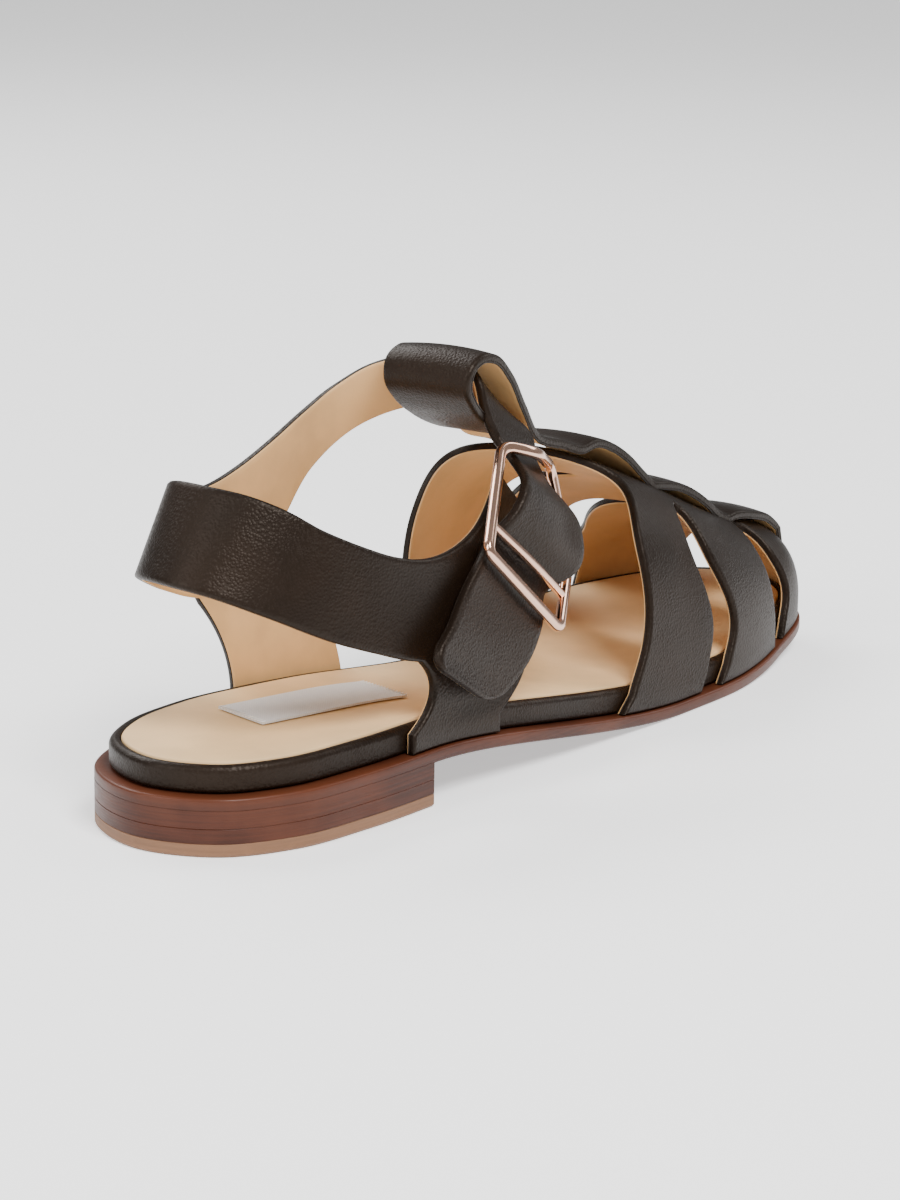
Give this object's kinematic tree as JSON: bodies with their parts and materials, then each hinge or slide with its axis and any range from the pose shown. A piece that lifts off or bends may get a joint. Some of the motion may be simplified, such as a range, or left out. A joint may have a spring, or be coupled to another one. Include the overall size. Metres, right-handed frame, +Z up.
{
  "type": "fisherman sandal",
  "caption": "Right fisherman sandal: three cross straps joined by a centre strap, buckled ankle strap with heel strap, leather-wrapped footbed, low stacked heel.",
  "frame": {"origin": "middle of the shoe's length and width, on the floor it stands on", "axes": "+X from heel to toe, -Y to the outer side of the right foot, +Z up"},
  "size_m": [0.2523, 0.0825, 0.0959],
  "materials": {
    "upper_leather": "dark brown, fine grain, soft sheen",
    "rand_leather": "dark brown, smooth, soft sheen",
    "sole_leather": "reddish brown, polished edge",
    "top_lift": "tan, matt",
    "lining_leather": "beige, smooth, matt",
    "label_cloth": "white, fine weave",
    "rose_gold": "polished rose gold plating"
  },
  "bodies": {
    "root": {"upper": "upper_leather", "footbed_board": "rand_leather", "outsole": "sole_leather", "heel_lift_upper": "sole_leather", "heel_lift_lower": "sole_leather", "heel_top_lift": "top_lift", "insole": "lining_leather", "insole_label": "label_cloth", "buckle": "rose_gold"}
  },
  "joints": []
}
